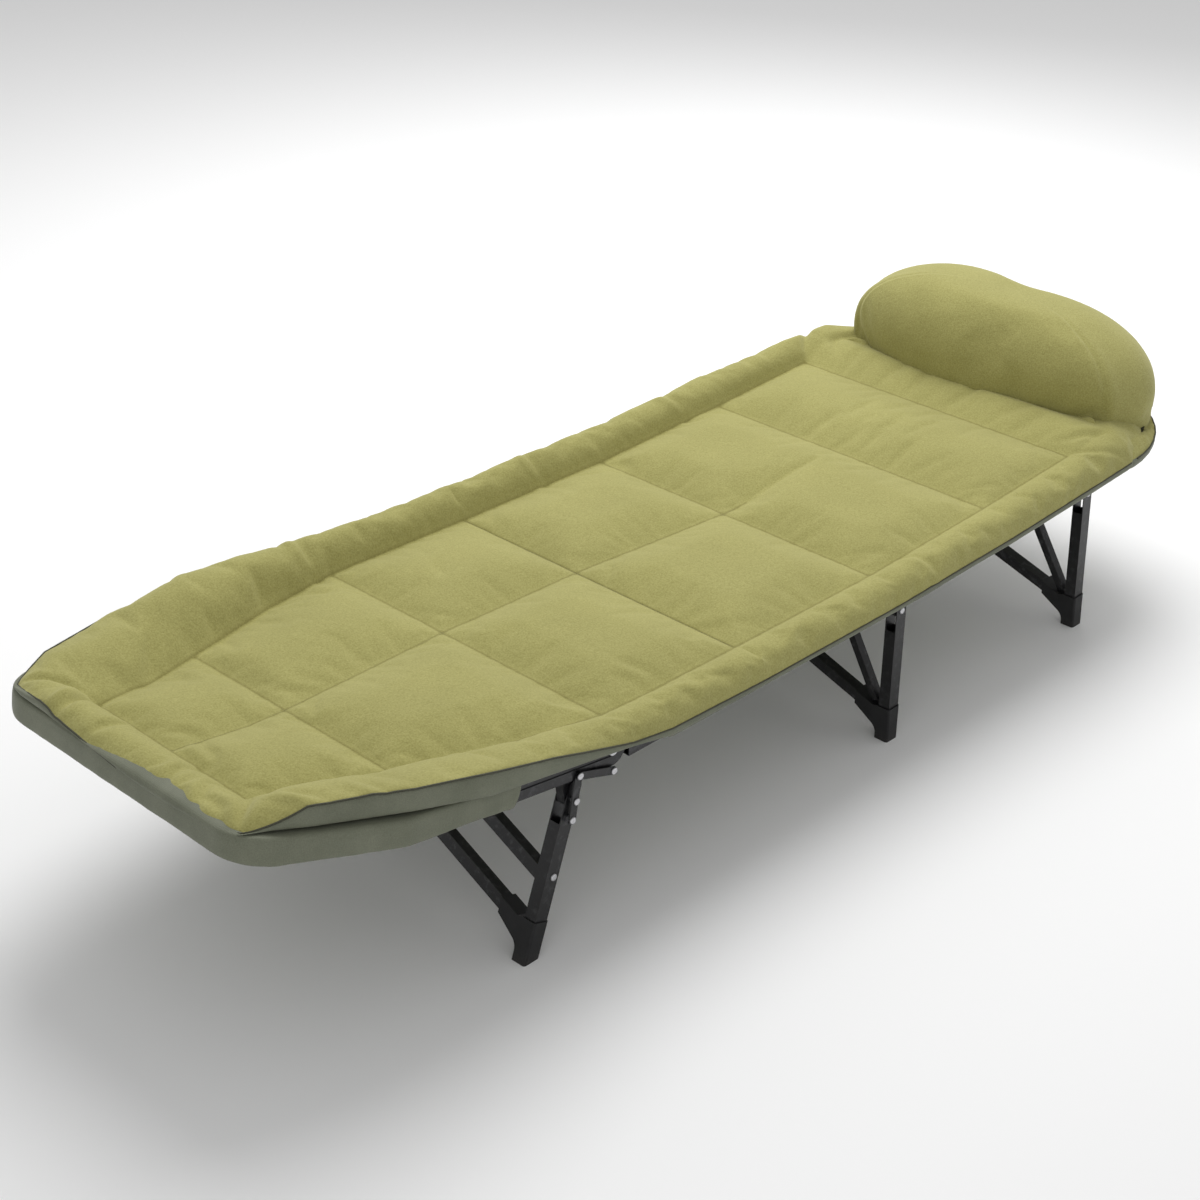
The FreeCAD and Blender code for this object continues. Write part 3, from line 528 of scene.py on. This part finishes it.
def inflate(obj, hold, pressure, cap, frames=20, slack=0.02):
    """Blows fabric up as cloth held by hold (0 free to 1 fixed), moving each point by cap at most."""
    start = coordinates(obj)
    group = obj.vertex_groups.new(name="hold")
    for weight in np.unique(np.round(hold, 2)):
        if weight > 0:
            members = np.nonzero(np.round(hold, 2) == weight)[0]
            group.add([int(m) for m in members], float(weight), "REPLACE")
    cloth = obj.modifiers.new("cloth", "CLOTH")
    settings = cloth.settings
    settings.quality = 4
    settings.mass = 0.25
    settings.tension_stiffness, settings.compression_stiffness = 12, 6
    settings.shear_stiffness, settings.bending_stiffness = 5, 0.35
    settings.use_pressure = True
    settings.uniform_pressure_force = pressure
    settings.vertex_group_mass = "hold"
    settings.shrink_min = -slack
    settings.effector_weights.gravity = 0
    cloth.collision_settings.use_collision = False
    cloth.point_cache.frame_start, cloth.point_cache.frame_end = 1, frames
    scene = bpy.context.scene
    for step in range(1, frames + 1):
        scene.frame_set(step)
    evaluated = obj.evaluated_get(bpy.context.evaluated_depsgraph_get())
    moved = coordinates(evaluated)
    obj.modifiers.remove(cloth)
    obj.vertex_groups.remove(group)
    scene.frame_set(1)
    shift = moved - start
    length = np.linalg.norm(shift, axis=1, keepdims=True)
    shift *= np.minimum(1, cap / np.maximum(length, 1e-9))
    obj.data.vertices.foreach_set("co", (start + shift).ravel())
    obj.data.update()


def subdivided(obj):
    smoother = obj.modifiers.new("smooth", "SUBSURF")
    smoother.levels = smoother.render_levels = 1
    bpy.context.view_layer.update()
    mesh = bpy.data.meshes.new_from_object(obj.evaluated_get(bpy.context.evaluated_depsgraph_get()))
    obj.modifiers.clear()
    obj.data = mesh
    return obj


def mat_hold(distance):
    """How firmly each point of the fleece is held: fully on the seams, not at all in the pads."""
    held = np.exp(-(distance / 0.004) ** 2)
    held[0], held[-1], held[:, 0], held[:, -1] = 1, 1, 1, 1
    return np.clip(held, 0, 1)


def build_mat():
    """The whole mat is inflated at once, then divided at the SPLIT seam into two pieces."""
    top, distance = mat_top()
    bottom, rim = mat_bottom(top)
    count = ROWS * COLUMNS
    low = np.arange(count).reshape(ROWS, COLUMNS) + count
    low[rim] = np.arange(count).reshape(ROWS, COLUMNS)[rim]
    verts = np.concatenate([top.reshape(-1, 3), bottom.reshape(-1, 3)])
    used = np.unique(np.concatenate([np.arange(count), low.ravel()]))
    renumber = np.full(2 * count, -1)
    renumber[used] = np.arange(len(used))
    quads = grid_faces(ROWS, COLUMNS, 0, True)
    under = [tuple(renumber[low.ravel()[k]] for k in quad) for quad in grid_faces(ROWS, COLUMNS)]
    faces = quads + under
    kinds = np.array([0] * len(quads) + [1] * len(under))
    # mask near each seam, stored as the seam attribute that paints shade into the seam creases
    seam = np.concatenate([np.exp(-(distance / 0.0022) ** 2).ravel(), np.zeros(count)])[used]
    hold = np.concatenate([mat_hold(distance).ravel(), np.ones(count)])[used]
    whole = make_mesh("mat_whole", verts[used], faces, kinds, (FLEECE, LINING))
    inflate(whole, hold, 3.0, 0.012)
    final = coordinates(whole)
    bpy.data.objects.remove(whole)
    row_of_face = np.array([k // (COLUMNS - 1) for k in range(len(quads))] * 2)
    pieces = []
    for name, chosen in (("mat_foot_half", row_of_face < seam_rows[SPLIT]),
                         ("mat_head_half", row_of_face >= seam_rows[SPLIT])):
        picked = np.nonzero(chosen)[0]
        members = np.unique([k for f in picked for k in faces[f]])
        index = {old: new for new, old in enumerate(members)}
        piece = make_mesh(name, final[members], [[index[k] for k in faces[f]] for f in picked],
                          kinds[picked], (FLEECE, LINING))
        add_attribute(piece, "seam", seam[members])
        subdivided(piece)
        pieces.append(piece)
    top = final[:count].reshape(ROWS, COLUMNS, 3)
    return pieces, top


(mat_foot_half, mat_head_half), mat_grid = build_mat()
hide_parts("mat_foot")
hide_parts("mat_middle", "mat_head")


# ---------------------------------------------------------------- the pillow

FRONT_BOW = 0.030              # how far the stuffing pushes the pillow's front edge forward


def head_outline(count):
    """Plan of the pillow's edge, from the front middle round by the near side and back."""
    half, back, corner, front = 0.325, 0.959, 0.205, SEAM_X[8] - 0.002
    order = [(front, 0.0, 0), (front, -half, 0.012), (back, -half, corner), (back, half, corner),
             (front, half, 0.012), (front, 0.0, 0)]
    path = [Vector((front, 0, 0))]
    for before, here, after in zip(order, order[1:], order[2:]):
        p, q, r = (Vector((c[0], c[1], 0)) for c in (before, here, after))
        to_p, to_r = (p - q).normalized(), (r - q).normalized()
        centre = q + (to_p + to_r) * here[2]
        for k in range(13):
            angle = k / 12 * math.pi / 2
            path.append(centre - (to_r * math.cos(angle) + to_p * math.sin(angle)) * here[2])
    path.append(Vector((front, 0, 0)))
    lengths = np.concatenate([[0], np.cumsum([(b - a).length for a, b in zip(path, path[1:])])])
    at = np.linspace(0, lengths[-1], count, endpoint=False)
    line = np.stack([np.interp(at, lengths, [c[k] for c in path]) for k in (0, 1)], axis=1)
    forward = smooth((front + 0.004 - line[:, 0]) / 0.004)
    line[:, 0] -= FRONT_BOW * forward * np.exp(-((line[:, 1] - 0.04) / 0.15) ** 2)
    return line


def head_level(x):
    """Height of the head section's pivot line at x."""
    return PIVOT_Z + (x - HEAD_HINGE) * math.tan(HEAD_RISE)


def even_out(co, start, around, rings):
    """Spreads the swelling of the pillow evenly, most of all near the middle of its top."""
    shift = (co - start)[1:1 + rings * around].reshape(rings, around, 3)
    for ring in range(rings):
        reach = int(max(2, 30 * (1 - ring / 14)))
        turned = [np.roll(shift[ring], k, axis=0) for k in range(-reach, reach + 1)]
        shift[ring] = np.mean(turned, axis=0)
    for ring in range(6):
        shift[ring] = shift[6].mean(axis=0) * (1 - ring / 6) + shift[6] * ring / 6
    co[1:1 + rings * around] = start[1:1 + rings * around] + shift.reshape(-1, 3)
    co[0] = start[0] + shift[0].mean(axis=0)


def pillow_piece():
    """Domed cushion over the head end, sewn down along its edge, on a woven underside."""
    around, dome, flange = 220, 32, 5
    quarter, full = math.pi / 2, math.radians(116)
    waist, peak, far_rise = 0.20, 0.454, 0.012
    least_inset, wrap_width, lining_rise = 0.005, 0.056, 0.012
    edge = head_outline(around)
    centre = np.array([0.856, 0.0])
    reach = edge - centre
    length = np.linalg.norm(reach, axis=1)[:, None]
    front = smooth((SEAM_X[8] + 0.030 - edge[:, 0]) / 0.03)
    on_mat = front * smooth((0.318 - np.abs(edge[:, 1])) / 0.05)
    bulge = (1.0 + 0.05 * on_mat)[:, None]
    to_corner = np.hypot(edge[:, 0] - SEAM_X[8], np.abs(edge[:, 1]) - 0.325)
    inset = (least_inset + 0.060 * np.exp(-(to_corner / 0.095) ** 2))[:, None]
    level = head_level(edge[:, 0])
    base = level - 0.005 + 0.031 * on_mat
    foot_of_dome = base + 0.30 * (inset[:, 0] - least_inset)
    verts = [[*centre, peak]]
    for ring in range(1, dome + 1):
        turn = full * ring / dome
        if turn <= quarter:
            out, lift = bulge * math.sin(turn) ** 0.76, waist + (1 - waist) * math.cos(turn) ** 0.74
        else:
            past = (turn - quarter) / (full - quarter)
            out, lift = 1 + (bulge - 1) * (1 - past ** 2), waist * (1 - past) ** 0.8
        plan = centre + reach * (1 - inset / length) * out
        top = peak + far_rise * smooth((plan[:, 1] + 0.05) / 0.25)
        verts += np.column_stack([plan, foot_of_dome + (top - foot_of_dome) * lift]).tolist()
    for ring in range(1, flange + 1):
        share = ring / flange
        plan = centre + reach * (1 - inset * (1 - share) / length)
        roll = 0.22 * (inset[:, 0] - least_inset) * math.sin(math.pi * share)
        verts += np.column_stack([plan, foot_of_dome + (base - foot_of_dome) * share + roll]).tolist()
    sewn = dome + flange
    # band, wrap round the end tube and flat underside: (way inwards, height from the pivot line)
    for inward, height in ((-0.002, -0.013), (0.001, -0.019), (0.009, -0.0255), (0.026, -0.0255),
                           (0.0350, -0.021), (0.038, 0.000), (wrap_width, 0.010)):
        plan = centre + reach * (1 - inward / length)
        low = (1 - on_mat) * (level + height) + on_mat * (base - 0.010)
        verts += np.column_stack([plan, low]).tolist()
    for share in (0.76, 0.50, 0.24):
        plan = centre + reach * (1 - wrap_width / length) * share
        verts += np.column_stack([plan, head_level(plan[:, 0]) + lining_rise]).tolist()
    verts.append([*centre, head_level(centre[0]) + lining_rise])
    total = (len(verts) - 2) // around
    faces, kinds = [], []
    for k in range(around):
        after = (k + 1) % around
        faces.append((0, 1 + k, 1 + after))
        kinds.append(0)
        for ring in range(total - 1):
            a = 1 + ring * around
            faces.append((a + k, a + around + k, a + around + after, a + after))
            kinds.append(0 if ring < sewn - 1 else 1)
        a = 1 + (total - 1) * around
        faces.append((a + k, len(verts) - 1, a + after))
        kinds.append(1)
    ring_of = np.concatenate([[0], np.repeat(np.arange(1, total + 1), around), [total + 1]])
    hold = np.where((ring_of >= sewn) | (ring_of == dome), 1.0, 0.0)
    piece = make_mesh("pillow_cushion", verts, faces, kinds, (FLEECE, LINING))
    inflate(piece, hold, 4.0, 0.012, slack=0.03)
    co = coordinates(piece)
    even_out(co, np.array(verts, float), around, dome)
    piece.data.vertices.foreach_set("co", co.ravel())
    edge_line = co[1 + (sewn - 1) * around:1 + sewn * around].copy()
    # painted shade in the crease along the pillow's sewn line, through the seam attribute
    add_attribute(piece, "seam", np.where(ring_of == dome, 0.9, 0.0))
    subdivided(piece)
    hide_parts("pillow")
    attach(piece, "head_frame")
    behind = np.nonzero(edge[:, 0] > SEAM_X[8] + 0.012)[0]
    return edge_line[behind[0]:behind[-1] + 1]


pillow_edge = pillow_piece()


# ---------------------------------------------------------------- seams: dark edge cord and stitches

def tube_along(line, radius, sides=6):
    """Vertices and faces of a thin tube along a line of points."""
    line = np.asarray(line)
    ahead = np.roll(line, -1, axis=0) - np.roll(line, 1, axis=0)
    ahead[0], ahead[-1] = line[1] - line[0], line[-1] - line[-2]
    ahead /= np.linalg.norm(ahead, axis=1)[:, None]
    across = np.cross(ahead, [0, 0, 1.0])
    across /= np.maximum(np.linalg.norm(across, axis=1), 1e-9)[:, None]
    up = np.cross(across, ahead)
    turns = np.arange(sides) / sides * 2 * math.pi
    ring = across[:, None] * np.cos(turns)[None, :, None] + up[:, None] * np.sin(turns)[None, :, None]
    verts = (line[:, None] + radius * ring).reshape(-1, 3)
    faces = []
    for i in range(len(line) - 1):
        a, b = i * sides, (i + 1) * sides
        for k in range(sides):
            m = (k + 1) % sides
            faces.append((a + k, a + m, b + m, b + k))
    faces.append(tuple(range(sides))[::-1])
    faces.append(tuple((len(line) - 1) * sides + k for k in range(sides)))
    return verts, faces


def merged(name, parts, mat):
    verts, faces, first = [], [], 0
    for some_verts, some_faces in parts:
        verts.append(some_verts)
        faces += [tuple(first + k for k in face) for face in some_faces]
        first += len(some_verts)
    return make_mesh(name, np.concatenate(verts), faces, None, (mat,))


def stitches(line, pitch=0.0048, length=0.0032, radius=0.00042, lift=0.0006):
    """Short thread runs along a seam."""
    line = np.asarray(line)
    lengths = np.concatenate([[0], np.cumsum(np.linalg.norm(np.diff(line, axis=0), axis=1))])
    parts = []
    for at in np.arange(pitch / 2, lengths[-1] - length, pitch):
        marks = at + np.array([0, 0.25, 0.75, 1]) * length
        points = np.stack([np.interp(marks, lengths, line[:, k]) for k in range(3)], axis=1)
        points[:, 2] += lift * np.array([-1, 1, 1, -1])
        parts.append(tube_along(points, radius, 4))
    return parts


CORD_RADIUS = 0.0013


def seam_pieces():
    """Dark cord round the edge of the mat and the quilting stitches, one of each for each half."""
    split = seam_rows[SPLIT]
    near_seam, far_seam, centre = BORDER_STEPS, COLUMNS - 1 - BORDER_STEPS, COLUMNS // 2
    halves = (("foot", 0, split), ("head", split, ROWS - 1))
    made = []
    for word, first, last in halves:
        rows = slice(first, last + 1)
        if word == "foot":
            line = np.concatenate([mat_grid[rows, 0][::-1], mat_grid[0, 1:-1], mat_grid[rows, -1]])
            cords = [tube_along(line, CORD_RADIUS)]
        else:
            rows = slice(first, seam_rows[8] + 1)
            cords = [tube_along(mat_grid[rows, column], CORD_RADIUS) for column in (0, -1)]
        cord_piece = merged("edge_cord_%s_half" % word, cords, THREAD)
        runs = [mat_grid[max(first, seam_rows[1]):min(last, seam_rows[7]) + 1, column]
                for column in (near_seam, far_seam)]
        centre_last = min(last, seam_rows[5] + 10)
        runs.append(mat_grid[max(first, seam_rows[1]):centre_last + 1, centre])
        for k in range(1, 8):
            if first < seam_rows[k] <= last or (word == "foot" and seam_rows[k] == split):
                runs.append(mat_grid[seam_rows[k], near_seam:far_seam + 1])
        thread_parts = []
        for run in runs:
            thread_parts += stitches(run)
        stitch_piece = merged("quilt_stitches_%s_half" % word, thread_parts, STITCH)
        for piece in (cord_piece, stitch_piece):
            made.append((word, piece))
    return made


STITCH = thread_material("quilt_thread", (0.20, 0.185, 0.07), (0.32, 0.30, 0.12))
seam_parts = seam_pieces()
pillow_cord = merged("pillow_edge_cord", [tube_along(pillow_edge, CORD_RADIUS)], THREAD)
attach(pillow_cord, "head_frame")


# ---------------------------------------------------------------- sleeve on the foot rails

def foot_point(x, y, z):
    """A point given in the raised foot section's own frame."""
    return (FOOT_HINGE + x * math.cos(FOOT_RISE) + z * math.sin(FOOT_RISE), y,
            PIVOT_Z - x * math.sin(FOOT_RISE) + z * math.cos(FOOT_RISE))


def sleeve_path():
    """Centre line of the foot end tube from one sleeve mouth round to the other, evenly spaced."""
    corners = [(-0.165, -0.2975, 0), (-0.340, -0.2975, 0.030), (-0.520, -0.234, 0.060),
               (-0.520, 0.234, 0.060), (-0.340, 0.2975, 0.030), (-0.165, 0.2975, 0)]
    path = [Vector(corners[0][:2])]
    for before, here, after in zip(corners, corners[1:], corners[2:]):
        q = Vector(here[:2])
        to_p, to_r = (Vector(before[:2]) - q).normalized(), (Vector(after[:2]) - q).normalized()
        half = to_p.angle(to_r) / 2
        middle = (to_p + to_r).normalized()
        centre = q + middle * (here[2] / math.sin(half))
        first, last = q + to_p * here[2] / math.tan(half), q + to_r * here[2] / math.tan(half)
        for k in range(11):
            way = (first.lerp(last, k / 10) - centre).normalized()
            path.append(centre + way * here[2])
    path.append(Vector(corners[-1][:2]))
    lengths = np.concatenate([[0], np.cumsum([(b - a).length for a, b in zip(path, path[1:])])])
    at = np.linspace(0, lengths[-1], 260)
    return np.stack([np.interp(at, lengths, [c[k] for c in path]) for k in (0, 1)], axis=1), lengths[-1]


def foot_sleeve_piece():
    """Woven sleeve round the end tube and the rail ends, with a hem and a slack lip at each mouth."""
    path, total = sleeve_path()
    ahead = np.gradient(path, axis=0)
    ahead /= np.linalg.norm(ahead, axis=1)[:, None]
    across = np.stack([ahead[:, 1], -ahead[:, 0]], axis=1)
    half_wide, top, bottom, corner = 0.0110, 0.0102, -0.0248, 0.0050
    rail_middle, cloth, bow_out = -0.0085, 0.0012, 0.0006
    hem_long, lip_long, sag_long = 0.013, 0.030, 0.090
    right, upper, lower = half_wide - corner, top - corner, bottom + corner
    ring = []
    for cx, cz, start in ((right, upper, 0), (-right, upper, 90),
                          (-right, lower, 180), (right, lower, 270)):
        for k in range(5):
            angle = math.radians(start + k * 22.5)
            ring.append((cx + corner * math.cos(angle), cz + corner * math.sin(angle)))
        if start in (90, 270):
            side = -half_wide if start == 90 else half_wide
            a, b = (upper, lower) if start == 90 else (lower, upper)
            ring += [(side + math.copysign(bow_out, side), a + (b - a) * f) for f in (0.2, 0.4, 0.6, 0.8)]
    ring = np.array(ring)
    sides = len(ring)
    verts = []
    for i, (point, way, run) in enumerate(zip(path, across, ahead)):
        from_mouth = min(i, len(path) - 1 - i) / (len(path) - 1) * total
        inward = 1 if i < len(path) / 2 else -1
        hem = 0.0007 if from_mouth < hem_long else 0.0
        for cx, cz in ring:
            below = (top - cz) / (top - bottom)
            pull = 0.010 * below ** 2 * max(0, 1 - from_mouth / lip_long)
            sag = 0.0030 * below * smooth(1 - from_mouth / sag_long)
            spread = np.array([cx, cz - rail_middle])
            spread *= hem / np.linalg.norm(spread)
            x, y = point + way * (cx + spread[0]) + run * pull * inward
            verts.append(foot_point(x, y, cz - sag + spread[1]))
    verts = np.array(verts)
    fine, broad = lumps(verts, 55, 3), lumps(verts * np.array([1, 1, 0.35]), 16, 5)
    middle = np.repeat([foot_point(*p, rail_middle) for p in path], sides, axis=0)
    away = verts - middle
    away /= np.linalg.norm(away, axis=1)[:, None]
    verts = verts + away * (0.0005 * fine + 0.0008 * np.maximum(broad, -0.2))[:, None]
    count = len(path)
    faces = []
    for i in range(count - 1):
        for k in range(sides):
            m = (k + 1) % sides
            faces.append((i * sides + k, i * sides + m, (i + 1) * sides + m, (i + 1) * sides + k))
    piece = make_mesh("foot_rail_sleeve", verts, faces, None, (LINING,))
    thick = piece.modifiers.new("thick", "SOLIDIFY")
    thick.thickness, thick.offset = cloth, -1
    subdivided(piece)
    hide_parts("foot_sleeve")
    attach(piece, "foot_frame")


foot_sleeve_piece()

# ---------------------------------------------------------------- floor, light and camera

def floor():
    mesh = bpy.data.meshes.new("floor")
    mesh.from_pydata([(-9, -9, 0), (9, -9, 0), (9, 9, 0), (-9, 9, 0)], [], [(0, 1, 2, 3)])
    obj = bpy.data.objects.new("floor", mesh)
    bpy.context.scene.collection.objects.link(obj)
    mat, shader, *_ = material("floor")
    shader.inputs["Base Color"].default_value = (0.90, 0.90, 0.90, 1)
    shader.inputs["Roughness"].default_value = 0.9
    mesh.materials.append(mat)


def area_light(name, place, aim, size, power):
    data = bpy.data.lights.new(name, "AREA")
    data.shape, data.size, data.energy = "DISK", size, power
    obj = bpy.data.objects.new(name, data)
    obj.location = place
    obj.rotation_euler = (Vector(aim) - Vector(place)).to_track_quat("-Z", "Y").to_euler()
    bpy.context.scene.collection.objects.link(obj)


def camera():
    yaw, pitch, roll = math.radians(-47.29), math.radians(27.59), math.radians(1.293)
    right = Vector((math.cos(yaw), math.sin(yaw), 0))
    ahead = Vector((-math.cos(pitch) * math.sin(yaw), math.cos(pitch) * math.cos(yaw), -math.sin(pitch)))
    up = right.cross(ahead)
    side = right * math.cos(roll) + up * math.sin(roll)
    lift = up * math.cos(roll) - right * math.sin(roll)
    data = bpy.data.cameras.new("camera")
    data.sensor_width, data.lens = 36, 65.37
    data.shift_x, data.shift_y = -0.0352, -0.0327
    obj = bpy.data.objects.new("camera", data)
    obj.matrix_world = Matrix.Translation((-2.1109, -1.900, 1.738)) @ \
        Matrix((side, lift, -ahead)).transposed().to_4x4()
    bpy.context.scene.collection.objects.link(obj)
    bpy.context.scene.camera = obj


def world():
    made = bpy.data.worlds.new("studio")
    made.use_nodes = True
    made.node_tree.nodes["Background"].inputs["Color"].default_value = (0.95, 0.95, 0.95, 1)
    made.node_tree.nodes["Background"].inputs["Strength"].default_value = 0.60
    bpy.context.scene.world = made


floor()
area_light("key", (1.1, 1.0, 3.2), (0.1, 0, 0.3), 2.6, 80)
area_light("fill", (-2.8, -2.0, 1.9), (0, 0, 0.2), 2.5, 7)
area_light("head_light", (2.6, 1.6, 2.2), (0, 0, 0.3), 2.0, 22)
camera()
world()
bpy.context.scene.view_settings.view_transform = "Standard"

# Bake the transform of each mat half and of its edge cord and stitches into the mesh.
for word, piece in [("foot", mat_foot_half), ("head", mat_head_half)] + seam_parts:
    if word == "foot":
        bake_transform(piece)
    else:
        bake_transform(piece)
